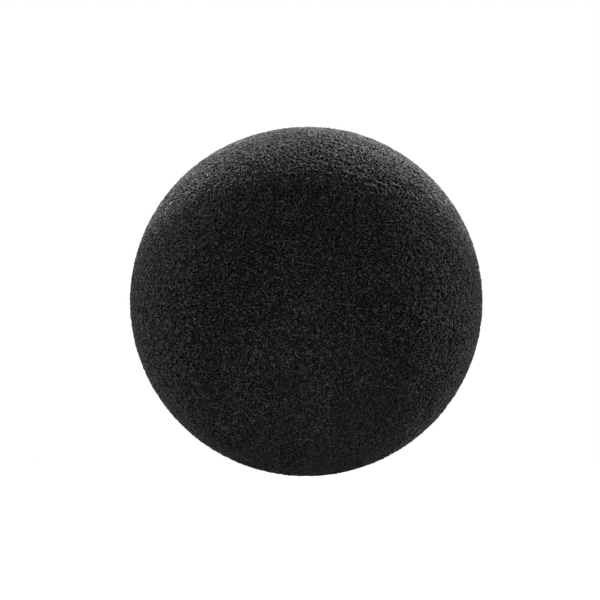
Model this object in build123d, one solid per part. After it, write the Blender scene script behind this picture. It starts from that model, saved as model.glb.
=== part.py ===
"""Ball windscreen for a pencil microphone: a foam ball on a ventilated basket.

The foam ball pushes on from the front over a lattice basket lined with gauze. The basket
plugs onto a collar and is held there by a quarter-turn lock ring. A rubber boot, clamped
behind the collar by a screwed plate, grips the body of the microphone.

The pieces are modelled with the microphone's axis along Z. Heights are measured forward
along it from the rear end of the boot's grip bore. save() then turns each piece so that
the ball faces -Y, with +Z up and the origin at that end of the bore.
"""

from build123d import *
from math import degrees, radians, sin, sqrt, tan
import os

# ---- clearances ------------------------------------------------------------------------
RUNNING_GAP = 0.2  # radial, between the lock ring and what it turns on
SEAT_GAP = 0.3  # radial, where one piece plugs into or over another
CLOSE_GAP = 0.05  # where a piece is seated for good
AXIAL_PLAY = 0.2  # end play of the lock ring

# ---- microphone and boot ---------------------------------------------------------------
MICROPHONE_DIAMETER = 21.0
GRIP_LENGTH = 10.0
BOOT_WALL = 1.8
BOOT_MOUTH_FLARE = 1.5  # depth and width of the funnel behind the grip bore
BOOT_BEAD_HEIGHT = 1.0
BOOT_BEAD_LENGTH = 2.1
BOOT_LENGTH = 21.5  # from the rear end of the grip bore to the clamping plate
BOOT_CONE_SPREAD = 4.0  # how much wider the cone is at the plate than at the grip
BOOT_FOLDS = 3
BOOT_FOLD_DEPTH = 0.9
BOOT_FOLD_ROUNDING = 0.5
BOOT_NECK_LENGTH = 1.0  # straight end of the cone, behind the plate
BOOT_FLANGE_WIDTH = 4.0
BOOT_FLANGE_THICKNESS = 2.0
GRIP_BAND_SECTION = 2.0
GRIP_BAND_HEIGHT = 4.3
GRIP_BAND_SINK = 0.5  # depth of the groove that keeps the band in place

# ---- collar, clamping plate and screws -------------------------------------------------
PLATE_THICKNESS = 2.5
PLATE_CHAMFER = 0.4
SCREW_COUNT = 4
SCREW_SHANK_DIAMETER = 2.44
SCREW_HEAD_DIAMETER = 4.6
SCREW_HEAD_HEIGHT = 1.6
SCREW_HEAD_EDGE = 0.7
SCREW_LENGTH = 7.0  # under the head
SCREW_TIP_CHAMFER = 0.4
SCREW_RECESS_DEPTH = 0.8
SCREW_RECESS_WIDTH = 0.6
SCREW_RECESS_SPAN = 2.8
INSERT_DIAMETER = 3.6
INSERT_THREAD_DIAMETER = 2.5
INSERT_LENGTH = 4.0
INSERT_WALL = 1.35  # of the collar, on each side of an insert
PILOT_CLEARANCE = 0.5  # left in front of a screw's tip
JOURNAL_LENGTH = 5.0
SHOULDER_THICKNESS = 2.0
SHOULDER_STEP = 1.6
SPIGOT_LENGTH = 9.0
SPIGOT_WALL = 3.3
LEAD_CHAMFER = 0.8  # where the basket's bore starts onto the spigot
THROAT_STEP = 0.45  # how much tighter the collar's throat is than the boot's cone
GASKET_THICKNESS = 1.0
WASHER_THICKNESS = 0.5
WASHER_WIDTH = 1.4

# ---- lock ring -------------------------------------------------------------------------
RING_WALL = 2.7
RING_EDGE = 1.0
LOCK_ANGLE = 40.0
LUG_COUNT = 3
LUG_ANGLE = 30.0
LUG_PLAY_ANGLE = 4.0  # on each side of a lug, in the gap that it passes through
LUG_REACH = 2.0
LUG_THICKNESS = 2.0
LUG_ROOT = 1.0  # how far a lug runs back into the basket's wall
LIP_THICKNESS = 2.0
SCALLOP_COUNT = 48
SCALLOP_RADIUS = 1.3
SCALLOP_DEPTH = 0.6
STOP_ANGLE = 90.0  # where the stop peg stands while the ring is unlocked
STOP_PEG_ANGLE = 8.0
STOP_PEG_REACH = 2.4
STOP_PLAY_ANGLE = 0.6
MARK_ANGLE = -90.0  # where the ring's mark stands while the ring is unlocked
MARK_WIDTH = 0.8
MARK_DEPTH = 0.3
MARK_LENGTH = 1.4

# ---- basket ----------------------------------------------------------------------------
BASKET_WALL = 2.2
BASE_RING_WALL = 3.9
BASE_RING_TAPER = 2.0  # length over which the base ring thins to the lattice
JOINT_RING_LENGTH = 2.0
JOINT_LIP_LENGTH = 2.0
JOINT_LIP_WALL = 1.0
RIB_COUNT = 16
RIB_WIDTH = 2.0
HOOP_WIDTH = 2.0
HOOP_PITCH = 11.0
DOME_HOOPS = 3  # between the equator and the nose hub
NOSE_HUB_RADIUS = 5.0
GAUZE_THICKNESS = 0.4

# ---- foam ball -------------------------------------------------------------------------
BALL_DIAMETER = 100.0
FOAM_MOUTH_LAND = 5.4  # width of the ball's rear face, outside its bore
FOAM_EDGE_RADIUS = 2.0
RING_TO_FOAM_GAP = 0.8
MOUTH_RING_WIDTH = 3.2
MOUTH_RING_THICKNESS = 2.2
MOUTH_RING_CHAMFER = 0.5

# ---- radii, from the microphone outwards -----------------------------------------------
grip_radius = MICROPHONE_DIAMETER / 2
sleeve_radius = grip_radius + BOOT_WALL
cone_radius = sleeve_radius + BOOT_CONE_SPREAD
boot_flange_radius = cone_radius + BOOT_FLANGE_WIDTH
flange_seat_radius = boot_flange_radius + RUNNING_GAP
screw_circle_radius = flange_seat_radius + INSERT_WALL + INSERT_DIAMETER / 2
journal_radius = screw_circle_radius + INSERT_DIAMETER / 2 + INSERT_WALL
shoulder_radius = journal_radius + SHOULDER_STEP
basket_radius = shoulder_radius + SEAT_GAP
base_bore_radius = basket_radius - BASE_RING_WALL
spigot_radius = base_bore_radius - SEAT_GAP
lattice_bore_radius = basket_radius - BASKET_WALL
lug_radius = basket_radius + LUG_REACH
ring_channel_radius = lug_radius + SEAT_GAP
ring_lip_radius = basket_radius + SEAT_GAP
ring_radius = ring_channel_radius + RING_WALL
peg_floor_radius = ring_channel_radius - STOP_PEG_REACH
plate_radius = ring_channel_radius - SEAT_GAP
ball_radius = BALL_DIAMETER / 2
foam_bore_radius = basket_radius + SEAT_GAP
foam_mouth_radius = foam_bore_radius + FOAM_MOUTH_LAND
mouth_ring_radius = foam_bore_radius + MOUTH_RING_WIDTH

# ---- heights along the microphone's axis -----------------------------------------------
plate_back = BOOT_LENGTH
plate_front = plate_back + PLATE_THICKNESS
boot_front = plate_front + BOOT_FLANGE_THICKNESS
journal_front = plate_front + JOURNAL_LENGTH
shoulder_front = journal_front + SHOULDER_THICKNESS
spigot_front = shoulder_front + SPIGOT_LENGTH
basket_back = shoulder_front + GASKET_THICKNESS
lug_front = basket_back + LUG_THICKNESS
lip_back = lug_front + AXIAL_PLAY
ring_front = lip_back + LIP_THICKNESS
base_ring_front = spigot_front + BASE_RING_TAPER
foam_back = ring_front + RING_TO_FOAM_GAP
ball_centre = foam_back + sqrt(ball_radius**2 - foam_mouth_radius**2)


# ---- shapes that several pieces use ----------------------------------------------------
def section(*corners):
    """Flat section beside the axis, from its (radius, height) corners."""
    return make_face(Polyline(*[(radius, 0, height) for radius, height in corners], close=True))


def turned(*corners):
    """Solid of revolution about Z, from the (radius, height) corners of its section."""
    return revolve(section(*corners), Axis.Z)


def band(inner_radius, outer_radius, back, front):
    """Ring of rectangular section, or a disc if its inner radius is nothing."""
    return turned(
        (inner_radius, back), (outer_radius, back), (outer_radius, front), (inner_radius, front)
    )


def arc_block(inner_radius, outer_radius, back, front, middle, span):
    """Part of a ring of rectangular section, span degrees long about the angle middle."""
    across = outer_radius * tan(radians(span / 2))
    wedge = make_face(Polyline((0, 0), (outer_radius, -across), (outer_radius, across), close=True))
    wedge = Pos(0, 0, back) * extrude(wedge, front - back)
    return Rot(0, 0, middle) * (band(inner_radius, outer_radius, back, front) & wedge)


def around(count, shape):
    """Copies of a shape, evenly spaced about the axis."""
    return [Rot(0, 0, 360 * i / count) * shape for i in range(count)]


def front_half(size):
    """Box that keeps what lies in front of the height it is placed at."""
    return Box(size, size, size, align=(Align.CENTER, Align.CENTER, Align.MIN))


def index_mark(start_radius, angle):
    """Short groove, to be cut outwards from a radius into a face at the plate's back."""
    mark = Box(MARK_LENGTH, MARK_WIDTH, 2 * MARK_DEPTH)
    return Rot(0, 0, angle) * Pos(start_radius + MARK_LENGTH / 2, 0, plate_back) * mark


# ---- pieces that stay on the microphone ------------------------------------------------
def boot_fold(share, offset):
    """Corner of the boot's folded cone, at a share of its length and off its inner wall."""
    fold_span = BOOT_LENGTH - BOOT_NECK_LENGTH - GRIP_LENGTH
    radius = grip_radius + share * BOOT_CONE_SPREAD + offset
    return (radius, GRIP_LENGTH + share * fold_span)


def mic_boot():
    """Rubber cone: grip sleeve, folds that let it flex, and the flange that is clamped."""
    steps = 2 * BOOT_FOLDS
    bulges = [BOOT_FOLD_DEPTH if i % 2 else 0.0 for i in range(steps + 1)]
    outer = [boot_fold(i / steps, bulge + BOOT_WALL) for i, bulge in enumerate(bulges)]
    inner = [boot_fold(i / steps, bulge) for i, bulge in enumerate(bulges)]
    bead_radius = sleeve_radius + BOOT_BEAD_HEIGHT
    bead_front = BOOT_BEAD_LENGTH - BOOT_MOUTH_FLARE
    groove_radius = sleeve_radius - GRIP_BAND_SINK
    groove_back = GRIP_BAND_HEIGHT - GRIP_BAND_SECTION / 2 - CLOSE_GAP
    groove_front = GRIP_BAND_HEIGHT + GRIP_BAND_SECTION / 2 + CLOSE_GAP
    boot = section(
        (grip_radius + BOOT_MOUTH_FLARE, -BOOT_MOUTH_FLARE),
        (bead_radius, -BOOT_MOUTH_FLARE),
        (bead_radius, bead_front),
        (sleeve_radius, bead_front + BOOT_BEAD_HEIGHT),
        (sleeve_radius, groove_back),
        (groove_radius, groove_back),
        (groove_radius, groove_front),
        (sleeve_radius, groove_front),
        *outer,
        (cone_radius, plate_front),
        (boot_flange_radius, plate_front),
        (boot_flange_radius, boot_front),
        (cone_radius - BOOT_WALL, boot_front),
        *reversed(inner),
        (grip_radius, 0.0),
    )
    folds = boot.vertices().filter_by_position(Axis.Z, GRIP_LENGTH, BOOT_LENGTH)
    return revolve(fillet(folds, BOOT_FOLD_ROUNDING), Axis.Z)


def grip_band():
    """O-ring in the groove of the boot's sleeve, which tightens it on the microphone."""
    section_radius = GRIP_BAND_SECTION / 2
    ring_radius = sleeve_radius - GRIP_BAND_SINK + CLOSE_GAP + section_radius
    return Pos(0, 0, GRIP_BAND_HEIGHT) * Torus(ring_radius, section_radius)


def screw_place(index):
    """Where a clamping screw's axis stands on the screw circle."""
    return Rot(0, 0, 360 * (index + 0.5) / SCREW_COUNT) * Pos(screw_circle_radius, 0, 0)


def at_screws(shape):
    """A copy of a shape at each screw."""
    return [screw_place(i) * shape for i in range(SCREW_COUNT)]


def collar():
    """Hub of the mount: boot seat, journal and shoulder for the lock ring, basket spigot."""
    throat_radius = cone_radius - THROAT_STEP
    spigot_bore = spigot_radius - SPIGOT_WALL
    body = turned(
        (throat_radius, boot_front),
        (flange_seat_radius, boot_front),
        (flange_seat_radius, plate_front),
        (journal_radius, plate_front),
        (journal_radius, journal_front),
        (shoulder_radius, journal_front),
        (shoulder_radius, shoulder_front),
        (spigot_radius, shoulder_front),
        (spigot_radius, spigot_front - LEAD_CHAMFER),
        (spigot_radius - LEAD_CHAMFER, spigot_front),
        (spigot_bore, spigot_front),
        (spigot_bore, shoulder_front),
        (throat_radius, journal_front),
    )
    pocket = band(0, INSERT_DIAMETER / 2, plate_front, plate_front + INSERT_LENGTH)
    pilot_front = plate_back + SCREW_LENGTH + PILOT_CLEARANCE
    pilot = band(0, INSERT_THREAD_DIAMETER / 2, plate_front, pilot_front)
    return body - at_screws(pocket + pilot)


def threaded_insert():
    """Brass insert for a clamping screw, set into the collar's rear face."""
    outer = INSERT_DIAMETER / 2
    return band(INSERT_THREAD_DIAMETER / 2, outer, plate_front, plate_front + INSERT_LENGTH)


def rear_plate():
    """Ring that clamps the boot's flange and keeps the lock ring on its journal."""
    edge = plate_radius - PLATE_CHAMFER
    plate = turned(
        (cone_radius + SEAT_GAP, plate_back),
        (edge, plate_back),
        (plate_radius, plate_back + PLATE_CHAMFER),
        (plate_radius, plate_front),
        (cone_radius + SEAT_GAP, plate_front),
    )
    hole = band(0, SCREW_SHANK_DIAMETER / 2 + RUNNING_GAP, plate_back, plate_front)
    slot_middle = STOP_ANGLE + LOCK_ANGLE / 2
    slot_span = LOCK_ANGLE + STOP_PEG_ANGLE + 2 * STOP_PLAY_ANGLE
    slot_floor = peg_floor_radius - SEAT_GAP
    slot = arc_block(slot_floor, ring_radius, plate_back, plate_front, slot_middle, slot_span)
    unlocked = index_mark(edge - MARK_LENGTH, MARK_ANGLE)
    locked = index_mark(edge - MARK_LENGTH, MARK_ANGLE + LOCK_ANGLE)
    return plate - [*at_screws(hole), slot, unlocked, locked]


def plate_screw():
    """Pan-head screw with a cross recess, which goes through the plate into an insert."""
    head_back = plate_back - SCREW_HEAD_HEIGHT
    head_radius = SCREW_HEAD_DIAMETER / 2
    shank_radius = SCREW_SHANK_DIAMETER / 2
    tip = plate_back + SCREW_LENGTH
    screw = turned(
        (0, head_back),
        (head_radius - SCREW_HEAD_EDGE, head_back),
        (head_radius, head_back + SCREW_HEAD_EDGE),
        (head_radius, plate_back),
        (shank_radius, plate_back),
        (shank_radius, tip - SCREW_TIP_CHAMFER),
        (shank_radius - SCREW_TIP_CHAMFER, tip),
        (0, tip),
    )
    slot = Box(SCREW_RECESS_SPAN, SCREW_RECESS_WIDTH, 2 * SCREW_RECESS_DEPTH)
    slot = Pos(0, 0, head_back) * slot
    return screw - [slot, Rot(0, 0, 90) * slot]


def slip_washer():
    """Thin washer between the plate and the lock ring, so that the ring turns smoothly."""
    inner = journal_radius + RUNNING_GAP
    return band(inner, inner + WASHER_WIDTH, plate_front, plate_front + WASHER_THICKNESS)


def base_gasket():
    """Flat rubber ring on the shoulder, which the basket is pressed against."""
    inner = spigot_radius + SEAT_GAP
    return band(inner, shoulder_radius - SEAT_GAP, shoulder_front, basket_back)


# ---- lock ring -------------------------------------------------------------------------
def lock_ring():
    """Knurled ring that turns on the collar; its lips pass in front of the basket's lugs."""
    web_back = plate_front + WASHER_THICKNESS
    web_front = journal_front - AXIAL_PLAY
    web_bore = journal_radius + RUNNING_GAP
    ring = turned(
        (ring_channel_radius, plate_back),
        (ring_radius - RING_EDGE, plate_back),
        (ring_radius, plate_back + RING_EDGE),
        (ring_radius, ring_front - RING_EDGE),
        (ring_radius - RING_EDGE, ring_front),
        (ring_lip_radius, ring_front),
        (ring_lip_radius, lip_back),
        (ring_channel_radius, lip_back),
        (ring_channel_radius, web_front),
        (web_bore, web_front),
        (web_bore, web_back),
        (ring_channel_radius, web_back),
    )
    gap_angle = LUG_ANGLE + 2 * LUG_PLAY_ANGLE
    gap = arc_block(basket_radius, ring_channel_radius, lip_back, ring_front, 0, gap_angle)
    knurl_back = plate_back + 2 * RING_EDGE
    knurl_front = ring_front - 2 * RING_EDGE
    scallop = band(0, SCALLOP_RADIUS, knurl_back, knurl_front)
    scallop = Pos(ring_radius + SCALLOP_RADIUS - SCALLOP_DEPTH, 0, 0) * scallop
    mark = index_mark(ring_channel_radius, MARK_ANGLE)
    peg_back = plate_back + SEAT_GAP
    peg_root = ring_channel_radius + RING_WALL / 2
    peg = arc_block(peg_floor_radius, peg_root, peg_back, web_back, STOP_ANGLE, STOP_PEG_ANGLE)
    return ring - [*around(LUG_COUNT, gap), *around(SCALLOP_COUNT, scallop), mark] + peg


# ---- basket ----------------------------------------------------------------------------
def base_ring():
    """Rear end of the basket: bore for the spigot, and lugs for the lock ring."""
    ring = turned(
        (base_bore_radius + LEAD_CHAMFER, basket_back),
        (basket_radius, basket_back),
        (basket_radius, base_ring_front),
        (lattice_bore_radius, base_ring_front),
        (base_bore_radius, spigot_front),
        (base_bore_radius, basket_back + LEAD_CHAMFER),
    )
    root = basket_radius - LUG_ROOT
    lug = arc_block(root, lug_radius, basket_back, lug_front, 0, LUG_ANGLE)
    return ring + around(LUG_COUNT, lug)


def basket_bars(length_of):
    """Flat bars across the basket, whose ends become its ribs; length_of gives each length."""
    bars = [Box(3 * basket_radius, RIB_WIDTH, 2 * length_of(i)) for i in range(RIB_COUNT // 2)]
    return [Rot(0, 0, 360 * i / RIB_COUNT) * bar for i, bar in enumerate(bars)]


def basket_barrel():
    """Cylindrical half of the basket: base ring, ribs, hoops and the rear joint ring."""
    joint_back = ball_centre - JOINT_RING_LENGTH
    span = joint_back - base_ring_front
    bays = max(1, round(span / HOOP_PITCH))
    hoop_backs = [base_ring_front + span * i / bays - HOOP_WIDTH / 2 for i in range(1, bays)]
    shell = band(lattice_bore_radius, basket_radius, base_ring_front, ball_centre)
    lattice = shell & Compound(basket_bars(lambda index: ball_centre))
    lattice += band(lattice_bore_radius, basket_radius, joint_back, ball_centre)
    for back in hoop_backs:
        lattice += band(lattice_bore_radius, basket_radius, back, back + HOOP_WIDTH)
    rebate_radius = lattice_bore_radius + JOINT_LIP_WALL
    rebate = band(0, rebate_radius, ball_centre - JOINT_LIP_LENGTH, ball_centre)
    return base_ring() + (lattice - rebate)


def dome_hoop(latitude):
    """Cone-shaped slice that leaves one hoop of the dome, at degrees from its equator."""
    half = degrees(HOOP_WIDTH / 2 / basket_radius)
    low = Vector(2 * basket_radius, 0, 0).rotate(Axis.Y, half - latitude)
    high = Vector(2 * basket_radius, 0, 0).rotate(Axis.Y, -half - latitude)
    return turned((0, 0), (low.X, low.Z), (high.X, high.Z))


def basket_dome():
    """Domed half of the basket: ribs that meet at a nose hub, hoops and the joint lip.

    Every second rib stops at the last hoop but one, because they would crowd at the nose.
    """
    hoop_step = 90 / (DOME_HOOPS + 1)
    short_rib = basket_radius * sin(radians(hoop_step * (DOME_HOOPS - 1)))
    bars = basket_bars(lambda index: short_rib if index % 2 else 2 * basket_radius)
    hub = band(0, NOSE_HUB_RADIUS, 0, 2 * basket_radius)
    equator = band(0, 2 * basket_radius, 0, JOINT_RING_LENGTH)
    shell = (Sphere(basket_radius) - Sphere(lattice_bore_radius)) & front_half(3 * basket_radius)
    hoops = [dome_hoop(hoop_step * i) for i in range(1, DOME_HOOPS + 1)]
    dome = Pos(0, 0, ball_centre) * (shell & Compound([*bars, hub, equator, *hoops]))
    lip_radius = lattice_bore_radius + JOINT_LIP_WALL - CLOSE_GAP
    lip_back_height = ball_centre - JOINT_LIP_LENGTH
    return dome + band(lattice_bore_radius, lip_radius, lip_back_height, ball_centre)


def gauze_sleeve():
    """Gauze bonded inside the barrel."""
    inner = lattice_bore_radius - GAUZE_THICKNESS
    return band(inner, lattice_bore_radius, base_ring_front, ball_centre)


def gauze_dome():
    """Gauze bonded inside the dome."""
    gauze = Sphere(lattice_bore_radius) - Sphere(lattice_bore_radius - GAUZE_THICKNESS)
    return Pos(0, 0, ball_centre) * (gauze & front_half(3 * basket_radius))


# ---- foam ball -------------------------------------------------------------------------
def foam_ball():
    """Open-cell foam ball with a domed bore for the basket."""
    ball = Pos(0, 0, ball_centre) * Sphere(ball_radius)
    ball &= Pos(0, 0, foam_back) * front_half(2 * BALL_DIAMETER)
    land = foam_mouth_radius - mouth_ring_radius
    ball = fillet(ball.edges().group_by(Axis.Z)[0], min(FOAM_EDGE_RADIUS, 0.9 * land))
    bore = band(0, foam_bore_radius, foam_back, ball_centre)
    bore += Pos(0, 0, ball_centre) * Sphere(foam_bore_radius)
    recess = band(0, mouth_ring_radius, foam_back, foam_back + MOUTH_RING_THICKNESS)
    return ball - bore - recess


def foam_mouth_ring():
    """Thin plastic ring bonded into the foam's mouth, which keeps it round."""
    inner_edge = foam_bore_radius + MOUTH_RING_CHAMFER
    outer_edge = mouth_ring_radius - MOUTH_RING_CHAMFER
    front = foam_back + MOUTH_RING_THICKNESS
    return turned(
        (inner_edge, foam_back),
        (outer_edge, foam_back),
        (mouth_ring_radius, foam_back + MOUTH_RING_CHAMFER),
        (mouth_ring_radius, front),
        (foam_bore_radius, front),
        (foam_bore_radius, foam_back + MOUTH_RING_CHAMFER),
    )


# ---- the assembly ----------------------------------------------------------------------
SINGLE_PIECES = [
    mic_boot,
    grip_band,
    collar,
    rear_plate,
    slip_washer,
    base_gasket,
    lock_ring,
    basket_barrel,
    basket_dome,
    gauze_sleeve,
    gauze_dome,
    foam_ball,
    foam_mouth_ring,
]


def save(name, shape):
    """Turns a piece so that forward is -Y and up is +Z, and writes it."""
    export_step(Rot(90, 0, 0) * shape, f"parts/{name}.step")


os.makedirs("parts", exist_ok=True)
for make in SINGLE_PIECES:
    save(make.__name__, make())
for i in range(SCREW_COUNT):
    save(f"plate_screw_{i + 1}", screw_place(i) * plate_screw())
    save(f"threaded_insert_{i + 1}", screw_place(i) * threaded_insert())
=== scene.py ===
"""Looks of a ball windscreen: open-cell foam on a lattice basket, with a lock ring and a boot."""

import bmesh
import bpy
import numpy as np
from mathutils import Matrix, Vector


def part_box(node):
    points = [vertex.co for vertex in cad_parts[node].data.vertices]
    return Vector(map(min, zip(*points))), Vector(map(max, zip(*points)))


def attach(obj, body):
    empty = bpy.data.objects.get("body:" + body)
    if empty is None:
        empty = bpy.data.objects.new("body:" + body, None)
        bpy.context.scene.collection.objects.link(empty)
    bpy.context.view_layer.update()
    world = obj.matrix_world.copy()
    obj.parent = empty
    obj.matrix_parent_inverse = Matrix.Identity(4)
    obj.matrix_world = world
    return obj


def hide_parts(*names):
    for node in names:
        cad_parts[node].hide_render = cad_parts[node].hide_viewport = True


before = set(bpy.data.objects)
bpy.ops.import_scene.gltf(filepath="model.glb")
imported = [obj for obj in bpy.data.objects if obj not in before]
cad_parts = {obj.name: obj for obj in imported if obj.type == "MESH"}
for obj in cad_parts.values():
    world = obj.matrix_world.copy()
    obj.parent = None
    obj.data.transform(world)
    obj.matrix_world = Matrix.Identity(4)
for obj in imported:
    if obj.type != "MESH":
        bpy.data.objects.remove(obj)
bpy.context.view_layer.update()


# The microphone boot is one moulding of black elastomer: a sleeve that grips the microphone,
# three soft folds, and a flange that the rear plate clamps. It has the dull bloom and the faint
# mottling of moulded rubber, and a parting line where the two halves of its mould met.
BOOT_BLACK = (0.006, 0.006, 0.0063, 1)
RUBBER_BLOOM = (0.034, 0.033, 0.031, 1)
RUBBER_GRAIN = 0.00035
RUBBER_GRAIN_DEPTH = 0.00005
PARTING_WIDTH = 0.00014
PARTING_HEIGHT = 0.00005


def node(tree, kind, inputs=(), **settings):
    """Adds a node, makes its settings, and fills its inputs with values or links to sockets."""
    made = tree.nodes.new(kind)
    for key, value in settings.items():
        setattr(made, key, value)
    for key, value in dict(inputs).items():
        if isinstance(value, bpy.types.NodeSocket):
            tree.links.new(value, made.inputs[key])
        else:
            made.inputs[key].default_value = value
    return made


def calc(tree, operation, *values):
    """Result of one Math node."""
    return node(tree, "ShaderNodeMath", dict(enumerate(values)), operation=operation).outputs[0]


def ramp(tree, value, start, end, low=0.0, high=1.0):
    """Value carried evenly from one range to another, and held at both ends."""
    limits = {"Value": value, "From Min": start, "From Max": end, "To Min": low, "To Max": high}
    return node(tree, "ShaderNodeMapRange", limits).outputs[0]


def tint(tree, share, low, high):
    """Colour between two others, by a share from 0 to 1."""
    return node(tree, "ShaderNodeMix", {0: share, 6: low, 7: high}, data_type="RGBA").outputs[2]


def clouds(tree, place, size, detail=3.0, roughness=0.55):
    """Soft noise from 0 to 1, with blotches of about the given size in metres."""
    inputs = {"Vector": place, "Scale": 1 / size, "Detail": detail, "Roughness": roughness}
    return node(tree, "ShaderNodeTexNoise", inputs).outputs["Fac"]


def bump(tree, height):
    """Normal of a surface whose height over the mesh is given in metres."""
    return node(tree, "ShaderNodeBump", {"Height": height, "Distance": 1.0}).outputs["Normal"]


def material(name, **sockets):
    """New material: its tree, its shader with the given plain values, and Object coordinates."""
    made = bpy.data.materials.new(name)
    made.use_nodes = True
    tree = made.node_tree
    shader = tree.nodes["Principled BSDF"]
    for key, value in sockets.items():
        shader.inputs[key.replace("_", " ")].default_value = value
    return made, tree, shader, node(tree, "ShaderNodeTexCoord").outputs["Object"]


def feed(tree, shader, **sockets):
    """Links sockets to the shader's inputs, whose names are given with _ for each space."""
    for key, value in sockets.items():
        tree.links.new(value, shader.inputs[key.replace("_", " ")])


def effect(name, inputs, outputs):
    """Starts a shader node group: its tree, its inner inputs, and its inner output node."""
    group = bpy.data.node_groups.new(name, "ShaderNodeTree")
    for socket, value in inputs.items():
        kind = "NodeSocketVector" if value is None else "NodeSocketFloat"
        made = group.interface.new_socket(socket, in_out="INPUT", socket_type=kind)
        if value is not None:
            made.default_value = value
    for socket in outputs:
        group.interface.new_socket(socket, in_out="OUTPUT", socket_type="NodeSocketFloat")
    return group, group.nodes.new("NodeGroupInput").outputs, group.nodes.new("NodeGroupOutput")


def place_effect(tree, group, place, **values):
    """Puts an effect in a material, at the piece's coordinates and with its own values."""
    made = node(tree, "ShaderNodeGroup", node_tree=group)
    tree.links.new(place, made.inputs["Vector"])
    for key, value in values.items():
        made.inputs[key].default_value = value
    return made.outputs


def moulded_grain():
    """Grain of a moulded surface: a fine spark texture with a few larger pits, and its mottle."""
    inputs = {"Vector": None, "Size": 0.0003, "Depth": 0.00002}
    group, given, result = effect("moulded grain", inputs, ["Height", "Mottle"])
    density = calc(group, "DIVIDE", 1.0, given["Size"])
    fine = {"Vector": given["Vector"], "Scale": density, "Detail": 2.0, "Roughness": 0.6}
    grain = node(group, "ShaderNodeTexNoise", fine).outputs["Fac"]
    coarse = {"Vector": given["Vector"], "Scale": calc(group, "DIVIDE", density, 6.0)}
    pits = node(group, "ShaderNodeTexVoronoi", coarse, feature="F1").outputs["Distance"]
    depth = calc(group, "ADD", grain, ramp(group, pits, 0.0, 0.25, -0.5, 0.0))
    group.links.new(calc(group, "MULTIPLY", depth, given["Depth"]), result.inputs["Height"])
    group.links.new(clouds(group, given["Vector"], 0.004), result.inputs["Mottle"])
    return group


def settled_dust():
    """Dust: more on faces that look up, and broken into soft blotches."""
    group, given, result = effect("settled dust", {"Vector": None, "Amount": 0.3}, ["Mask"])
    normal = node(group, "ShaderNodeNewGeometry").outputs["Normal"]
    upward = node(group, "ShaderNodeSeparateXYZ", {0: normal}).outputs["Z"]
    blotches = ramp(group, clouds(group, given["Vector"], 0.006, 5.0), 0.38, 0.72)
    share = calc(group, "MULTIPLY", blotches, ramp(group, upward, -0.4, 1.0, 0.35, 1.0))
    group.links.new(calc(group, "MULTIPLY", share, given["Amount"]), result.inputs["Mask"])
    return group


GRAIN = moulded_grain()
DUST = settled_dust()


def rubber(name, black, grain_size, seam):
    """Moulded rubber: mottled black with a grey bloom, a fine grain, and a raised mould line.

    The seam is given as a function of the tree and the coordinates, and returns the distance
    from the mould line in metres.
    """
    settings = {"Specular_IOR_Level": 0.22, "Sheen_Weight": 0.03, "Sheen_Roughness": 0.5}
    made, tree, shader, place = material(name, **settings)
    grain = place_effect(tree, GRAIN, place, Size=grain_size, Depth=RUBBER_GRAIN_DEPTH)
    dust = place_effect(tree, DUST, place, Amount=0.3)["Mask"]
    bloom = ramp(tree, clouds(tree, place, 0.009, 6.0), 0.46, 0.70, 0.0, 0.6)
    line = ramp(tree, seam(tree, place), PARTING_WIDTH / 2, PARTING_WIDTH, PARTING_HEIGHT, 0.0)
    feed(
        tree,
        shader,
        Base_Color=tint(tree, calc(tree, "MAXIMUM", bloom, dust), black, RUBBER_BLOOM),
        Roughness=ramp(tree, grain["Mottle"], 0.3, 0.7, 0.60, 0.85),
        Normal=bump(tree, calc(tree, "ADD", grain["Height"], line)),
    )
    return made


def axis_distance(tree, place):
    """Distance from the microphone's axis."""
    split = node(tree, "ShaderNodeSeparateXYZ", {0: place})
    across = node(tree, "ShaderNodeCombineXYZ", {"X": split.outputs["X"], "Z": split.outputs["Z"]})
    length = node(tree, "ShaderNodeVectorMath", {0: across.outputs[0]}, operation="LENGTH")
    return length.outputs["Value"]


def side_plane(tree, place):
    """Distance from the upright plane through the axis, where the boot's mould parts."""
    return calc(tree, "ABSOLUTE", node(tree, "ShaderNodeSeparateXYZ", {0: place}).outputs["X"])


def finish(surface, *names):
    """Gives a finish to CAD pieces."""
    for name in names:
        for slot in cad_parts[name].material_slots:
            slot.material = surface


finish(rubber("boot rubber", BOOT_BLACK, RUBBER_GRAIN, side_plane), "mic_boot")


# The grip band is an ordinary O-ring, stretched into a groove round the boot's sleeve so that
# the sleeve holds the microphone. It is a denser rubber than the boot, blacker and finer in
# grain, with a hair of moulding flash round its widest circle.
BAND_BLACK = (0.0045, 0.0045, 0.0045, 1)
BAND_GRAIN = 0.00018
band_low, band_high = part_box("grip_band")


def band_circle(tree, place):
    """Distance from the plane of the band's widest circle, where its mould parts."""
    along = node(tree, "ShaderNodeSeparateXYZ", {0: place}).outputs["Y"]
    return calc(tree, "ABSOLUTE", calc(tree, "SUBTRACT", along, (band_low.y + band_high.y) / 2))


finish(rubber("band rubber", BAND_BLACK, BAND_GRAIN, band_circle), "grip_band")


# Four threaded inserts are turned from brass and pressed hot into the collar's bosses. Only
# their rear faces show before the plate goes on: bright turned rings, with a warm tarnish.
BRASS = (0.72, 0.47, 0.20, 1)
BRASS_TARNISH = (0.33, 0.19, 0.08, 1)
TURNING_PITCH = 0.00012
TURNING_HEIGHT = 0.0000012


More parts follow.
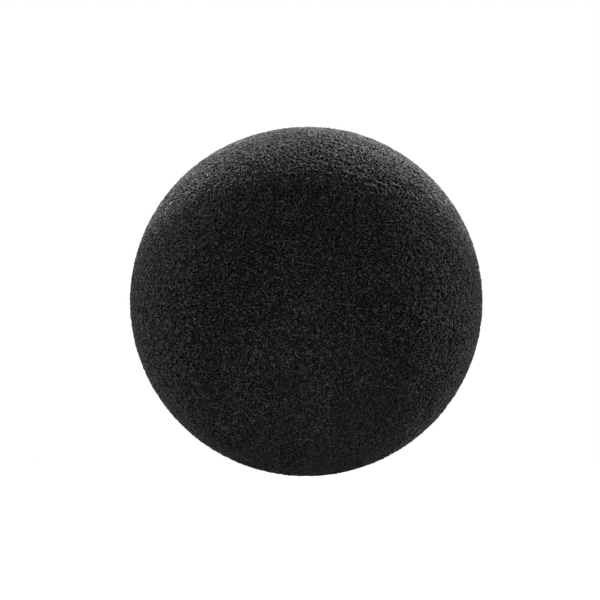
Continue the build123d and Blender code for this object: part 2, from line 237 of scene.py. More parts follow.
def metal(name, bright, dull, low_gloss, high_gloss, tarnish_size):
    """Turned metal: two tones in blotches, and tool marks as fine rings about the axis."""
    made, tree, shader, place = material(name, Metallic=1.0)
    blotches = ramp(tree, clouds(tree, place, tarnish_size, 5.0), 0.35, 0.68)
    turns = calc(tree, "MULTIPLY", axis_distance(tree, place), 2 * np.pi / TURNING_PITCH)
    marks = calc(tree, "MULTIPLY", calc(tree, "SINE", turns), TURNING_HEIGHT)
    feed(
        tree,
        shader,
        Base_Color=tint(tree, blotches, bright, dull),
        Roughness=ramp(tree, blotches, 0.0, 1.0, low_gloss, high_gloss),
        Normal=bump(tree, marks),
    )
    return made


finish(metal("insert brass", BRASS, BRASS_TARNISH, 0.24, 0.48, 0.0016), *[
    f"threaded_insert_{number}" for number in range(1, 5)
])


# The collar is one moulding of black glass-filled plastic: the hub, the journal that the lock
# ring turns on, and the spigot that the basket sits over. The rear plate is moulded to match.
# Both have a fine spark texture, rubbed smoother and paler along their edges.
PLASTIC_BLACK = (0.0065, 0.0065, 0.0070, 1)
PLASTIC_RUBBED = (0.110, 0.108, 0.104, 1)
PLASTIC_DUST = (0.120, 0.112, 0.102, 1)
SPARK_SIZE = 0.00050
SPARK_DEPTH = 0.00012
EDGE_ROUNDING = 0.0009


def edge_wear():
    """Wear along edges: how far a rounded normal leaves the true one, broken up by noise."""
    group, given, result = effect("edge wear", {"Vector": None, "Radius": 0.0004}, ["Mask"])
    rounded = node(group, "ShaderNodeBevel", {"Radius": given["Radius"]}, samples=6)
    true = node(group, "ShaderNodeNewGeometry").outputs["Normal"]
    both = {0: rounded.outputs["Normal"], 1: true}
    alike = node(group, "ShaderNodeVectorMath", both, operation="DOT_PRODUCT").outputs["Value"]
    turned = ramp(group, alike, 0.995, 0.90)
    rubbed = ramp(group, clouds(group, given["Vector"], 0.0022, 4.0), 0.34, 0.62, 0.25, 1.0)
    group.links.new(calc(group, "MULTIPLY", turned, rubbed), result.inputs["Mask"])
    return group


WEAR = edge_wear()


def moulded(name, black, rubbed, spark_size, spark_depth, low_gloss, high_gloss, flow=0.0):
    """Moulded plastic: spark texture, mottled gloss, rubbed edges, dust, and fibre flow marks."""
    made, tree, shader, place = material(name, Specular_IOR_Level=0.26)
    grain = place_effect(tree, GRAIN, place, Size=spark_size, Depth=spark_depth)
    wear = place_effect(tree, WEAR, place, Radius=EDGE_ROUNDING)["Mask"]
    dust = place_effect(tree, DUST, place, Amount=0.16)["Mask"]
    stretched = {"Vector": place, "Scale": (1.0, 0.12, 1.0)}
    lengthwise = node(tree, "ShaderNodeMapping", stretched).outputs[0]
    fibres = ramp(tree, clouds(tree, lengthwise, 0.0007, 4.0), 0.45, 0.75, 0.0, flow)
    pale = calc(tree, "MAXIMUM", wear, fibres)
    colour = tint(tree, dust, tint(tree, pale, black, rubbed), PLASTIC_DUST)
    gloss = ramp(tree, grain["Mottle"], 0.3, 0.7, low_gloss, high_gloss)
    feed(
        tree,
        shader,
        Base_Color=colour,
        Roughness=calc(tree, "SUBTRACT", gloss, calc(tree, "MULTIPLY", wear, 0.15)),
        Normal=bump(tree, grain["Height"]),
    )
    return made


HOUSING = moulded(
    "housing plastic", PLASTIC_BLACK, PLASTIC_RUBBED, SPARK_SIZE, SPARK_DEPTH, 0.26, 0.68
)
finish(HOUSING, "collar")


# The base gasket is a flat rubber ring between the collar's shoulder and the basket's base. It
# stops rattle, and its squeeze keeps the basket's lugs against the lock ring's lips.
GASKET_BLACK = (0.015, 0.015, 0.0155, 1)


def gasket_edge(tree, place):
    """Distance from the circle that the die cut, which leaves a faint lip."""
    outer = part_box("base_gasket")[1].z
    return calc(tree, "ABSOLUTE", calc(tree, "SUBTRACT", axis_distance(tree, place), outer))


finish(rubber("gasket rubber", GASKET_BLACK, RUBBER_GRAIN, gasket_edge), "base_gasket")


# The slip washer is cut from natural acetal sheet. It keeps the lock ring from rubbing on the
# rear plate, so its faces carry faint rings where the ring has burnished them.
ACETAL = (0.74, 0.72, 0.66, 1)
ACETAL_RUBBED = (0.60, 0.57, 0.51, 1)
BURNISH_WIDTH = 0.00025
BURNISH_HEIGHT = 0.000006


def acetal(name):
    """Natural acetal: a waxy off-white that light enters, with burnished rings."""
    light_reach = {"Subsurface_Scale": 0.0008, "Subsurface_Radius": (1.0, 0.9, 0.75)}
    made, tree, shader, place = material(name, Subsurface_Weight=0.25, **light_reach)
    radius = node(tree, "ShaderNodeCombineXYZ", {"X": axis_distance(tree, place)})
    rings = ramp(tree, clouds(tree, radius.outputs[0], BURNISH_WIDTH, 4.0), 0.35, 0.7)
    feed(
        tree,
        shader,
        Base_Color=tint(tree, rings, ACETAL, ACETAL_RUBBED),
        Roughness=ramp(tree, rings, 0.0, 1.0, 0.42, 0.26),
        Normal=bump(tree, calc(tree, "MULTIPLY", rings, BURNISH_HEIGHT)),
    )
    return made


finish(acetal("washer acetal"), "slip_washer")


# The lock ring turns on the collar's journal, and its three lips catch the basket's lugs. It is
# one moulding of the collar's plastic, with scallops for the fingers, which have polished the
# ridges between them. A peg inside it runs in the plate's slot and stops its turn.
RING_BLACK = (0.0080, 0.0080, 0.0085, 1)
RING_RUBBED = (0.130, 0.129, 0.125, 1)
RING_SPARK_DEPTH = 0.00008
RING_PLASTIC = moulded(
    "ring plastic", RING_BLACK, RING_RUBBED, SPARK_SIZE, RING_SPARK_DEPTH, 0.24, 0.60
)
finish(RING_PLASTIC, "lock_ring")


# The rear plate clamps the boot's flange and keeps the lock ring on its journal. It is moulded
# from the collar's plastic, with a slot in its rim for the ring's peg and two marks, for locked
# and unlocked. Four screws hold it.
finish(HOUSING, "rear_plate")


# Four pan-head screws with cross recesses run through the plate into the brass inserts. They are
# steel with a black oxide, worn back to bright metal along their edges.
OXIDE_BLACK = (0.045, 0.045, 0.048, 1)
STEEL_BRIGHT = (0.46, 0.45, 0.43, 1)
SCREW_ROUNDING = 0.00022
OIL_HEIGHT = 0.000012


def blackened(name):
    """Black-oxide steel: dark satin metal that shows bright steel along its worn edges."""
    made, tree, shader, place = material(name, Metallic=1.0)
    wear = place_effect(tree, WEAR, place, Radius=SCREW_ROUNDING)["Mask"]
    oil = clouds(tree, place, 0.0012, 4.0)
    feed(
        tree,
        shader,
        Base_Color=tint(tree, wear, OXIDE_BLACK, STEEL_BRIGHT),
        Roughness=ramp(tree, oil, 0.3, 0.7, 0.28, 0.44),
        Normal=bump(tree, calc(tree, "MULTIPLY", oil, OIL_HEIGHT)),
    )
    return made


finish(blackened("screw steel"), *[f"plate_screw_{number}" for number in range(1, 5)])


# The basket carries the foam and keeps it off the capsule: a moulded barrel with a base ring and
# lugs, and a moulded dome that plugs into it. Both are glass-filled nylon, with a matt skin that
# shows the fibres as pale streaks along the axis.
NYLON_BLACK = (0.013, 0.013, 0.013, 1)
NYLON_PALE = (0.050, 0.049, 0.047, 1)
NYLON_GRAIN = 0.00022
NYLON_GRAIN_DEPTH = 0.00003
NYLON = moulded(
    "basket nylon", NYLON_BLACK, NYLON_PALE, NYLON_GRAIN, NYLON_GRAIN_DEPTH, 0.5, 0.7, flow=0.45
)
finish(NYLON, "basket_barrel", "basket_dome")


# Acoustic gauze lines the basket and breaks up the air that gets through the foam. It is a
# plain-woven black polyester: a sleeve for the barrel, and six petals, heat-sealed edge to edge,
# for the dome. The sleeve has six sealed lines in step with the petals' seams.
GAUZE_BLACK = (0.020, 0.020, 0.021, 1)
# Painted shade, darker where the threads sink under those that cross them.
GAUZE_SUNK_SHADE = (0.008, 0.008, 0.008, 1)
GAUZE_THICKNESS = 0.00022
GAUZE_INSET = 0.0002  # of the cloth's outer face, within that of the plain solid it replaces
GAUZE_PITCH = 0.00042
GAUZE_RELIEF = 0.00006
GAUZE_POINTS = 192  # round the axis, the same number for each petal
PETALS = 6
SEAL_WIDTH = 0.0009
SLEEVE_TUCK = 0.0004  # the sleeve's glued edge, over the cone inside the base ring
sleeve_low, sleeve_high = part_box("gauze_sleeve")
dome_base = -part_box("gauze_dome")[1].y  # the station of its rear edge
gauze_radius = sleeve_high.z - GAUZE_INSET


def about_axis(radius, angle, station):
    """Points at a radius and an angle about the microphone's axis, at a station along it.

    x is the radius times the cosine, z is the radius times the sine, and y is minus the station.
    """
    return np.stack([radius * np.cos(angle), 0 * angle - station, radius * np.sin(angle)], -1)


def grid_faces(rows, columns, closed_rows=False, closed_columns=False):
    """Four-cornered faces between neighbours of a grid, numbered along its rows."""
    row = np.arange(rows if closed_rows else rows - 1)[:, None]
    column = np.arange(columns if closed_columns else columns - 1)[None, :]
    next_row, next_column = (row + 1) % rows, (column + 1) % columns
    corners = [
        row * columns + column,
        row * columns + next_column,
        next_row * columns + next_column,
        next_row * columns + column,
    ]
    return np.stack(corners, -1).reshape(-1, 4)


def mesh_piece(name, points, *face_groups):
    """Object from an (n, 3) array of points and arrays of faces, one for each corner count."""
    corners = np.concatenate([group.ravel() for group in face_groups])
    sizes = np.concatenate([np.full(len(group), group.shape[1]) for group in face_groups])
    mesh = bpy.data.meshes.new(name)
    mesh.vertices.add(len(points))
    mesh.vertices.foreach_set("co", points.astype(np.float32).ravel())
    mesh.loops.add(len(corners))
    mesh.loops.foreach_set("vertex_index", corners.astype(np.int32))
    mesh.polygons.add(len(sizes))
    mesh.polygons.foreach_set("loop_start", (np.cumsum(sizes) - sizes).astype(np.int32))
    mesh.update(calc_edges=True)
    mesh.shade_smooth()
    piece = bpy.data.objects.new(name, mesh)
    bpy.context.scene.collection.objects.link(piece)
    return piece


def wall_outline(radius, station, thickness):
    """Closed outline of a wall: a line of (radius, station), and its copy one thickness inside.

    The copy lies along the line's own normal, which is its tangent turned by a right angle.
    """
    line = np.stack([radius, station], 1)
    tangent = np.gradient(line, axis=0)
    tangent /= np.linalg.norm(tangent, axis=1, keepdims=True)
    inner = line + thickness * np.stack([-tangent[:, 1], tangent[:, 0]], 1)
    inner[:, 0] = np.maximum(inner[:, 0], 0)
    return np.concatenate([line, inner[::-1]])


def gauze_piece(name, outline, count):
    """Wall carried round the axis, with its UV map in metres along the cloth's threads.

    Across a petal, u is the radius times the angle from the petal's middle, and v is the length
    along the outline. Points that meet on the axis are merged.
    """
    angle = np.linspace(0, 2 * np.pi, count, endpoint=False)[:, None]
    points = about_axis(outline[None, :, 0], angle, outline[None, :, 1]).reshape(-1, 3)
    columns = len(outline)
    piece = mesh_piece(name, points, grid_faces(count, columns, True, True))
    steps = np.linalg.norm(np.roll(outline, -1, 0) - outline, axis=1)
    half = columns // 2
    length = np.concatenate([np.cumsum(steps[:half]), np.cumsum(steps[:half])[::-1]])
    row = np.repeat(np.arange(count), columns)[:, None] + np.array([0, 0, 1, 1])
    column = np.tile(np.arange(columns), count)[:, None] + np.array([0, 1, 1, 0])
    turn = 2 * np.pi / PETALS
    middle = (np.floor(row[:, :1] / count * PETALS) + 0.5) * turn
    across = outline[column % columns, 0] * (row / count * 2 * np.pi - middle)
    edge = outline[column % columns, 0] * turn / 2 - np.abs(across)
    uv = piece.data.uv_layers.new(name="threads")
    uv.data.foreach_set("uv", np.stack([across, length[column % columns]], -1).ravel())
    seal = piece.data.attributes.new("seal_distance", "FLOAT", "CORNER")
    seal.data.foreach_set("value", edge.ravel())
    shell = bmesh.new()
    shell.from_mesh(piece.data)
    bmesh.ops.remove_doubles(shell, verts=shell.verts, dist=1e-7)
    bmesh.ops.recalc_face_normals(shell, faces=shell.faces)
    shell.to_mesh(piece.data)
    shell.free()
    piece.data.set_sharp_from_angle(angle=np.radians(50))
    return piece


def plain_weave():
    """Plain weave from thread coordinates: the height of the upper thread, and what is covered.

    Threads are the crests of the sine of each coordinate. The product of the two sines changes
    sign from one crossing to the next, and lifts one thread there while it sinks the other.
    """
    inputs = {"Vector": None, "Pitch": 0.0004}
    group, given, result = effect("plain weave", inputs, ["Height", "Cover"])
    split = node(group, "ShaderNodeSeparateXYZ", {0: given["Vector"]})
    turns = calc(group, "DIVIDE", np.pi, given["Pitch"])
    warp = calc(group, "SINE", calc(group, "MULTIPLY", split.outputs["X"], turns))
    weft = calc(group, "SINE", calc(group, "MULTIPLY", split.outputs["Y"], turns))
    lift = calc(group, "MULTIPLY", calc(group, "MULTIPLY", warp, weft), 0.35)
    warp, weft = calc(group, "ABSOLUTE", warp), calc(group, "ABSOLUTE", weft)
    raised, lowered = calc(group, "ADD", warp, lift), calc(group, "SUBTRACT", weft, lift)
    group.links.new(calc(group, "MAXIMUM", raised, lowered), result.inputs["Height"])
    covered = ramp(group, calc(group, "MAXIMUM", warp, weft), 0.42, 0.52)
    group.links.new(covered, result.inputs["Cover"])
    return group


def gauze_cloth(name):
    """Woven gauze: threads with gaps between them, sealed solid along the petals' edges."""
    settings = {"Sheen_Weight": 0.2, "Sheen_Roughness": 0.4, "Specular_IOR_Level": 0.4}
    made, tree, shader, place = material(name, **settings)
    threads = node(tree, "ShaderNodeUVMap", uv_map="threads").outputs[0]
    weave = place_effect(tree, plain_weave(), threads, Pitch=GAUZE_PITCH)
    distance = node(tree, "ShaderNodeAttribute", attribute_name="seal_distance").outputs["Fac"]
    sealed = ramp(tree, distance, SEAL_WIDTH / 2, SEAL_WIDTH, 1.0, 0.0)
    # Painted shade: the cloth darkens where its threads sink, and keeps its own black on crests and
    # lint.
    shade = ramp(tree, weave["Height"], 0.6, 1.3)
    lint = calc(tree, "MULTIPLY", ramp(tree, clouds(tree, place, 0.003, 5.0), 0.5, 0.8), 0.4)
    feed(
        tree,
        shader,
        Base_Color=tint(tree, calc(tree, "MAXIMUM", shade, lint), GAUZE_SUNK_SHADE, GAUZE_BLACK),
        Roughness=ramp(tree, sealed, 0.0, 1.0, 0.62, 0.35),
        Alpha=calc(tree, "MAXIMUM", weave["Cover"], sealed),
        Normal=bump(tree, calc(tree, "MULTIPLY", weave["Height"], GAUZE_RELIEF)),
    )
    return made


GAUZE = gauze_cloth("gauze cloth")
sleeve_station = np.linspace(-sleeve_high.y - SLEEVE_TUCK, -sleeve_low.y, 25)
sleeve_line = wall_outline(0 * sleeve_station + gauze_radius, sleeve_station, GAUZE_THICKNESS)
sleeve = gauze_piece("gauze_sleeve_cloth", sleeve_line, GAUZE_POINTS)
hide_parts("gauze_sleeve")

dome_turn = np.linspace(0, np.pi / 2, 33)
dome_line = wall_outline(
    gauze_radius * np.cos(dome_turn), gauze_radius * np.sin(dome_turn) + dome_base, GAUZE_THICKNESS
)
dome = gauze_piece("gauze_dome_cloth", dome_line, GAUZE_POINTS)
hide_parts("gauze_dome")
for cloth in (sleeve, dome):
    cloth.data.materials.append(GAUZE)
    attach(cloth, "basket")


# The mouth ring is a plain plastic ring bonded into the ball's mouth. It keeps the mouth round,
# and it is what the fingers feel when the ball is pushed home over the basket.
MOUTH_RING_GRAIN = 0.0003
MOUTH_RING_GRAIN_DEPTH = 0.00002
MOUTH_RING_PLASTIC = moulded(
    "mouth ring plastic",
    RING_BLACK,
    RING_RUBBED,
    MOUTH_RING_GRAIN,
    MOUTH_RING_GRAIN_DEPTH,
    0.42,
    0.55,
)
finish(MOUTH_RING_PLASTIC, "foam_mouth_ring")


# The ball is cut from open-cell polyurethane foam: thin struts round cells somewhat under a
# millimetre, dyed black. The mesh carries the cells themselves as pits between raised struts,
# and the finish adds the finer struts inside them. Its colour also carries painted light: pale
# painted highlights that glint along the struts, on their knots and in rare specks, and painted
# shade in the pores. A mouth, a recess for the ring and a domed bore are cut into its rear.
# Painted highlight colour of the struts, then the foam's black with painted shade in its pores.
STRUT_PAINTED_HIGHLIGHT = (0.245, 0.245, 0.245, 1)
BLACK_WITH_PORE_SHADE = (0.0065, 0.0065, 0.0065, 1)
FOAM_BORE = 0.0290
FOAM_EDGE = 0.00198
CELL_SIZE = 0.00092
CELL_DEPTH = 0.00036
BORE_SHARE = 0.6  # of a cell's depth, on the wall of the bore
CUT_UNEVEN = 0.00030  # rise or fall of the cut surface over a lump's width
CUT_LUMP = 0.0014
BALL_OVAL = 0.00018
BALL_DIP = 0.00026
STRUT_SPACING = 0.00080
FINE_CELL_SIZE = 0.00046
STRUT_RELIEF = 0.00012
GLINT_LENGTH = 0.00046
PAINTED_SPECK_SPACING = 0.0010
CAP_ANGLE = np.radians(50)  # from the front pole, where the cap's grid gives way to rings
CAP_CELLS = 250
RING_POINTS = 4 * CAP_CELLS  # as many as lie on the cap's rim
RING_ROWS = 253
RECESS_ROWS = 4
foam_low, foam_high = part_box("foam_ball")
ring_low, ring_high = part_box("foam_mouth_ring")
ball_radius = foam_high.z
ball_station = -foam_low.y - ball_radius


def disk_grid(cells):
    """Square grid mapped to a disk: each point's share of the disk's radius, and its angle.

    The larger of a point's two coordinates is its share of the radius. The ratio of the smaller
    to the larger, times an eighth of a turn, is its angle from the nearest axis, so that points
    on the square's edge are evenly spaced round the disk.
    """
    side = np.linspace(-1, 1, cells + 1)
    across, up = np.meshgrid(side, side)
    wide = np.abs(across) >= np.abs(up)
    larger = np.where(wide, across, up)
    ratio = np.divide(np.where(wide, up, across), larger, out=0 * larger, where=larger != 0)
    angle = np.where(wide, ratio * np.pi / 4, np.pi / 2 - ratio * np.pi / 4)
    angle = angle + np.where(larger < 0, np.pi, 0)
    return np.abs(larger), angle


def square_rim(cells):
    """Numbers of the points round a square grid's edge, from its lowest right corner."""
    side = np.arange(cells)
    stride = cells + 1
    right = side * stride + cells
    top = cells * stride + cells - side
    left = (cells - side) * stride
    bottom = side
    return np.concatenate([right, top, left, bottom])


def random_share(column, row, layer, salt):
    """Repeatable number from 0 to 1 for each whole-numbered place: a hash of its coordinates."""
    mixed = column * 73856093 ^ row * 19349663 ^ layer * 83492791 ^ salt * 2654435761
    mixed = mixed & 0xFFFFFFFF
    mixed = (mixed ^ mixed >> 15) * 2246822519 & 0xFFFFFFFF
    mixed = (mixed ^ mixed >> 13) * 3266489917 & 0xFFFFFFFF
    return (mixed ^ mixed >> 16) / 4294967296


def cell_noise(points, size):
    """Distances from each point to its three nearest cell centres, in cell sizes.

    There is one centre at a hashed place in every cube of the given size, and a point's nearest
    centres are looked for in its own cube and the 26 round it.
    """
    scaled = points / size
    home = np.floor(scaled).astype(np.int64)
    nearest = np.full((3, len(points)), 9.0)
    for step in np.ndindex(3, 3, 3):
        cube = home + np.array(step) - 1
        centre = np.stack([cube[:, i] + random_share(*cube.T, i + 1) for i in range(3)], 1)
        distance = ((scaled - centre) ** 2).sum(1)
        nearest = np.sort(np.concatenate([nearest, distance[None]]), 0)[:3]
    return np.sqrt(nearest)


def foam_outline():
    """The ball's cap as a grid of points, and two lines of (radius, station) for its rings.

    A point of the ball lies at an angle from the front pole and an angle round the axis. The
    cap's angle from the pole has a sine of its half that grows evenly with the grid's radius,
    which keeps the grid's cells equal in area. Behind the cap the fine line runs round the ball,
    over the mouth's edge, which is a quadratic curve drawn towards the sharp corner, and along
    the recess's wall. The coarse line runs forwards along the bore and its quarter circle.
    """
    share, around = disk_grid(CAP_CELLS)
    tilt = 2 * np.arcsin(share * np.sin(CAP_ANGLE / 2))
    cap = about_axis(ball_radius * np.sin(tilt), around, ball_station + ball_radius * np.cos(tilt))
    mouth_radius = np.sqrt(ball_radius**2 - (ball_station + foam_high.y) ** 2)
    edge_start = np.pi - np.arcsin(mouth_radius / ball_radius) - FOAM_EDGE / ball_radius
    turn = np.linspace(CAP_ANGLE, edge_start, RING_ROWS)[1:]
    ball_line = np.stack([ball_radius * np.sin(turn), ball_station + ball_radius * np.cos(turn)], 1)
    t = np.linspace(0, 1, 9)[1:, None]
    corner = np.array([mouth_radius, -foam_high.y])
    land = np.array([mouth_radius - FOAM_EDGE, -foam_high.y])
    edge_line = (1 - t) ** 2 * ball_line[-1] + 2 * t * (1 - t) * corner + t**2 * land
    ring_radius, recess = ring_high.z, -ring_low.y
    lip = np.linspace(land, [ring_radius, -foam_high.y], 3)[1:]
    wall = np.linspace([ring_radius, -foam_high.y], [ring_radius, recess], RECESS_ROWS + 1)[1:]
    fine = np.concatenate([ball_line, edge_line, lip, wall])
    bore = np.linspace([FOAM_BORE, recess], [FOAM_BORE, ball_station], 60)
    inner = np.linspace(0, np.pi / 2, 52)[1:-1]
    dome_part = np.stack([FOAM_BORE * np.cos(inner), ball_station + FOAM_BORE * np.sin(inner)], 1)
    coarse = np.concatenate([bore, dome_part])
    return cap, fine, coarse


def foam_points():
    """All points of the foam, and how many fine rings and coarse rings they hold.

    The cap's grid comes first, then the fine rings, and then the coarse ones, which have a
    quarter as many points each. The last point is the bore's pole.
    """
    cap, fine, coarse = foam_outline()
    angle = np.arange(RING_POINTS) * 2 * np.pi / RING_POINTS - np.pi / 4
    rings = about_axis(fine[:, :1], angle[None, :], fine[:, 1:])
    bore = about_axis(coarse[:, :1], angle[None, ::4], coarse[:, 1:])
    pole = np.array([0.0, -(ball_station + FOAM_BORE), 0.0])
    groups = [group.reshape(-1, 3) for group in (cap, rings, bore, pole)]
    return np.concatenate(groups), len(fine), len(coarse)


def foam_faces(fine_rings, coarse_rings):
    """Faces of the foam: the cap, the seam at its rim, the rings, and the fan at the bore's pole.

    Each face of the recess's floor joins five points of the last fine ring to two of the first
    coarse one. Behind the cap the faces are turned over, so that all point outwards.
    """
    first_fine = (CAP_CELLS + 1) ** 2
    first_coarse = first_fine + fine_rings * RING_POINTS
    pole = first_coarse + coarse_rings * CAP_CELLS
    rim, ring = square_rim(CAP_CELLS), first_fine + np.arange(RING_POINTS)
    seam = np.stack([rim, np.roll(rim, -1), np.roll(ring, -1), ring], 1)
    rings = grid_faces(fine_rings, RING_POINTS, closed_columns=True) + first_fine
    start = np.arange(CAP_CELLS)[:, None]
    over = first_coarse - RING_POINTS + (4 * start + np.arange(5)) % RING_POINTS
    under = first_coarse + (start + np.array([1, 0])) % CAP_CELLS
    recess_floor = np.concatenate([over, under], 1)
    bore = grid_faces(coarse_rings, CAP_CELLS, closed_columns=True) + first_coarse
    last = pole - CAP_CELLS + np.arange(CAP_CELLS)
    fan = np.stack([last, np.roll(last, -1), 0 * last + pole], 1)
    behind = [faces[:, ::-1] for faces in (seam, rings, recess_floor, bore, fan)]
    return [grid_faces(CAP_CELLS + 1, CAP_CELLS + 1), *behind]


def soft_step(value, start, end):
    """Share from 0 to 1 between two values, eased at both ends: 3 t squared less 2 t cubed."""
    t = np.clip((value - start) / (end - start), 0, 1)
    return t * t * (3 - 2 * t)


def bend_of_ball(points):
    """Outward shift of the ball's surface, which isn't quite round.

    Round the axis, the shift is a cosine of twice the angle, less a bell-shaped dip near the
    top. It fades out over 45 degrees each side of the widest circle.
    """
    across, forward, up = points[:, 0], -points[:, 1] - ball_station, points[:, 2]
    around = np.arctan2(up, across)
    ahead = np.arctan2(forward, np.hypot(across, up))
    fade = np.cos(np.clip(2 * ahead, -np.pi / 2, np.pi / 2)) ** 2
    dip = np.exp(-(((around - np.radians(101)) / np.radians(20)) ** 2))
    return fade * (BALL_OVAL * np.cos(2 * around) - BALL_DIP * dip)


def cut_cells(points, outside, bored):
    """Shares of pore and of knot at each point, and how deep its cell is cut.

    A strut lies where a point's two nearest cell centres are equally far, and a knot where all
    three are. Cells differ in depth, those of the bore are shallower, and the recess has none.
    """
    first, second, third = cell_noise(points, CELL_SIZE)
    pore = soft_step(second - first, 0.03, 0.42)
    knot = soft_step(third - first, 0.30, 0.05)
    deeper = 0.75 + 0.5 * cell_noise(points, 4 * CELL_SIZE)[0]
    depth = CELL_DEPTH * (pore * deeper - 0.25 * knot)
    return pore, knot, np.select([outside, bored], [depth, BORE_SHARE * np.maximum(depth, 0)], 0)


points, fine_rings, coarse_rings = foam_points()
foam = mesh_piece("foam_ball_cells", points, *foam_faces(fine_rings, coarse_rings))
normal = np.empty(points.size, np.float32)
foam.data.vertex_normals.foreach_get("vector", normal)
normal = normal.reshape(-1, 3).astype(float)
number = np.arange(len(points))
first_coarse = len(points) - 1 - coarse_rings * CAP_CELLS
outside = number < first_coarse - RECESS_ROWS * RING_POINTS
pore, knot, depth = cut_cells(points, outside, number >= first_coarse + CAP_CELLS)
uneven = CUT_UNEVEN * (cell_noise(points, CUT_LUMP)[0] - 0.5)
outward = points + [0, ball_station, 0]
outward /= np.linalg.norm(outward, axis=1, keepdims=True)
swell = np.where(outside, bend_of_ball(points) - uneven, 0)[:, None]
foam.data.vertices.foreach_set("co", (points - depth[:, None] * normal + swell * outward).ravel())
foam.data.attributes.new("pore", "FLOAT", "POINT").data.foreach_set("value", pore)
foam.data.attributes.new("knot", "FLOAT", "POINT").data.foreach_set("value", knot)
foam.data.update()


def web_of_struts(tree, place, cell_size):
    """Struts between cells of a size: 1 on a strut, and 0 from a fifth of a cell's size away."""
    web = {"Vector": place, "Scale": 1 / cell_size}
    edge = node(tree, "ShaderNodeTexVoronoi", web, feature="DISTANCE_TO_EDGE").outputs[0]
    return ramp(tree, edge, 0.02, 0.20, 1.0, 0.0)


def open_cell_foam(name):
    """Open-cell foam: near-black pits in painted shade, and painted highlights along the struts."""
    settings = {"Specular_IOR_Level": 0.0, "Sheen_Weight": 0.25, "Sheen_Roughness": 0.3}
    made, tree, shader, place = material(name, **settings)
    pit = node(tree, "ShaderNodeAttribute", attribute_name="pore").outputs["Fac"]
    meeting = node(tree, "ShaderNodeAttribute", attribute_name="knot").outputs["Fac"]
    strut = calc(tree, "MULTIPLY", web_of_struts(tree, place, STRUT_SPACING), 0.55)
    fine_strut = calc(tree, "MULTIPLY", web_of_struts(tree, place, FINE_CELL_SIZE), 0.45)
    raised = calc(tree, "ADD", strut, fine_strut)
    # Painted shade in the pores: their share cuts the struts' lightness, and their bump with it.
    raised = calc(tree, "MULTIPLY", raised, ramp(tree, pit, 0.0, 1.0, 1.0, 0.35))
    # Painted highlight: the knots, where struts meet, are made lighter.
    raised = calc(tree, "ADD", raised, calc(tree, "MULTIPLY", meeting, 0.25))
    # Painted glints: the struts turn pale in short streaks along them.
    glint = ramp(tree, clouds(tree, place, GLINT_LENGTH, 2.0), 0.40, 0.70)
    glint = calc(tree, "POWER", glint, 1.6)
    patches = ramp(tree, clouds(tree, place, 0.012, 3.0), 0.3, 0.7, 0.85, 1.15)
    share = calc(tree, "MULTIPLY", calc(tree, "MULTIPLY", raised, glint), patches)
    # Painted highlight: rare pale specks where the glints are strong.
    painted_speck = ramp(tree, clouds(tree, place, PAINTED_SPECK_SPACING, 1.0), 0.69, 0.78, 0.0, 0.55)
    share = calc(tree, "ADD", share, calc(tree, "MULTIPLY", painted_speck, glint))
    feed(
        tree,
        shader,
        Base_Color=tint(tree, share, BLACK_WITH_PORE_SHADE, STRUT_PAINTED_HIGHLIGHT),
        Roughness=ramp(tree, share, 0.0, 0.6, 0.75, 0.38),
        Normal=bump(tree, calc(tree, "MULTIPLY", raised, STRUT_RELIEF)),
    )
    return made


foam.data.materials.append(open_cell_foam("open-cell foam"))
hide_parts("foam_ball")
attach(foam, "foam")


# The studio is a pale floor well below the ball, in a plain white surround. A narrow light above
# and behind brings out the ball's crown, a strip stands at each side, softboxes fill the front
# and the rear, and a weak narrow light in front lifts the ball's lower half.
FLOOR_PALE = (0.80, 0.80, 0.80, 1)
FLOOR_DROP = 0.24
FLOOR_WIDTH = 6.0
FLOOR_GLOW = 0.83
SURROUND_FILL = (0.08, 0.08, 0.08, 1)
WHITE = (1.0, 1.0, 1.0, 1)
BALL_SHARE = 0.5848  # of the picture's width
CAMERA_DISTANCE = 0.60
CAMERA_SHIFT = (-0.0104, 0.0020)  # across and up, as shares of the picture's width
SENSOR_WIDTH = 36.0
centre = Vector((0.0, -ball_station, 0.0))


def surround():
    """World: white to the camera and in reflections, and a plain grey for the light it gives."""
    world = bpy.data.worlds.new("studio surround")
    world.use_nodes = True
    bpy.context.scene.world = world
    tree = world.node_tree
    ray = node(tree, "ShaderNodeLightPath").outputs
    seen = calc(tree, "MAXIMUM", ray["Is Camera Ray"], ray["Is Glossy Ray"])
    seen = calc(tree, "MAXIMUM", seen, ray["Is Transmission Ray"])
    tree.links.new(tint(tree, seen, SURROUND_FILL, WHITE), tree.nodes["Background"].inputs["Color"])


def softbox(name, place, width, height, power, aim=(0.0, 0.0, 0.0), spread=180.0):
    """Soft light at a place measured from the ball's centre, facing an aim given the same way.

    The spread is the angle of its beam in degrees, which a honeycomb in front of it narrows.
    """
    lamp = bpy.data.lights.new(name, "AREA")
    lamp.shape = "RECTANGLE"
    lamp.size, lamp.size_y, lamp.energy, lamp.spread = width, height, power, np.radians(spread)
    light = bpy.data.objects.new(name, lamp)
    light.location = centre + Vector(place)
    light.rotation_euler = (Vector(place) - Vector(aim)).to_track_quat("Z", "Y").to_euler()
    bpy.context.scene.collection.objects.link(light)


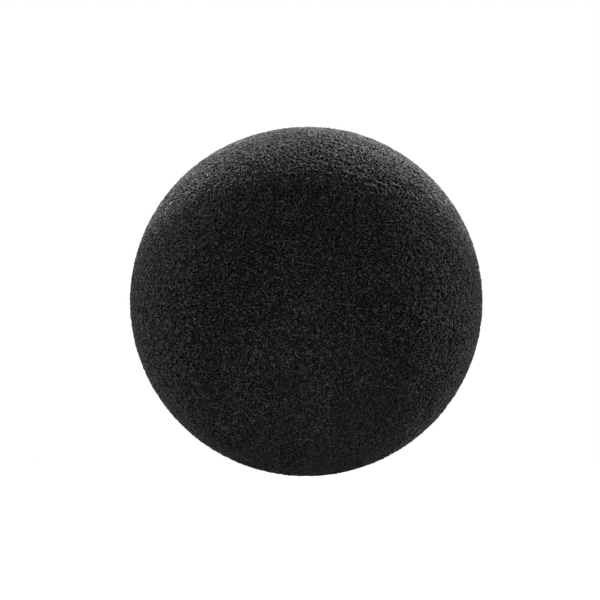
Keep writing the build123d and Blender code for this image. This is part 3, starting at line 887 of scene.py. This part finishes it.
def floor_paint(name):
    """Pale paint that glows to the camera and in reflections, and is clear from below."""
    made, tree, shader, place = material(name, Roughness=0.6, Emission_Color=WHITE)
    tone = ramp(tree, clouds(tree, place, 0.25, 2.0), 0.3, 0.7, 0.97, 1.0)
    ray = node(tree, "ShaderNodeLightPath").outputs
    seen = calc(tree, "MAXIMUM", ray["Is Camera Ray"], ray["Is Glossy Ray"])
    feed(
        tree,
        shader,
        Base_Color=tint(tree, tone, WHITE, FLOOR_PALE),
        Emission_Strength=calc(tree, "MULTIPLY", seen, FLOOR_GLOW),
    )
    below = node(tree, "ShaderNodeNewGeometry").outputs["Backfacing"]
    clear = node(tree, "ShaderNodeBsdfTransparent").outputs[0]
    both = node(tree, "ShaderNodeMixShader", {0: below, 1: shader.outputs[0], 2: clear})
    tree.links.new(both.outputs[0], tree.nodes["Material Output"].inputs["Surface"])
    return made


surround()
crown, belly = (0.0, -0.020, 0.043), (0.0, 0.0, -0.020)
softbox("overhead honeycomb", (0.00, 0.56, 0.72), 0.25, 0.06, 0.42, aim=crown, spread=10.5)
softbox("rear softbox", (0.00, 0.80, 0.42), 0.7, 0.5, 2.6)
softbox("right strip", (0.78, 0.34, 0.26), 0.2, 0.5, 8.6)
softbox("left strip", (-0.78, 0.34, 0.26), 0.2, 0.5, 7.4)
softbox("front fill", (0.00, -0.86, 0.30), 0.5, 0.3, 2.15)
softbox("low honeycomb", (0.00, -0.90, -0.12), 0.05, 0.04, 0.0025, aim=belly, spread=4.8)
softbox("rear fill", (0.00, 0.90, 0.00), 0.5, 0.4, 1.6)

corners = np.array([[-1, -1, 0], [1, -1, 0], [1, 1, 0], [-1, 1, 0]]) * FLOOR_WIDTH / 2
floor_points = corners + [0, -ball_station, -ball_radius - FLOOR_DROP]
floor = mesh_piece("floor", floor_points, np.array([[0, 1, 2, 3]]))
floor.visible_shadow = False
floor.visible_diffuse = False
floor.data.materials.append(floor_paint("floor paint"))

lens_angle = np.arcsin(ball_radius / CAMERA_DISTANCE)
camera_data = bpy.data.cameras.new("camera")
camera_data.sensor_width = SENSOR_WIDTH
camera_data.lens = SENSOR_WIDTH * BALL_SHARE / 2 / np.tan(lens_angle)
camera_data.shift_x, camera_data.shift_y = CAMERA_SHIFT
camera = bpy.data.objects.new("camera", camera_data)
camera.location = centre + Vector((0.0, -CAMERA_DISTANCE, 0.0))
camera.rotation_euler = (np.pi / 2, 0.0, 0.0)
bpy.context.scene.collection.objects.link(camera)
bpy.context.scene.camera = camera
bpy.context.scene.view_settings.view_transform = "Standard"
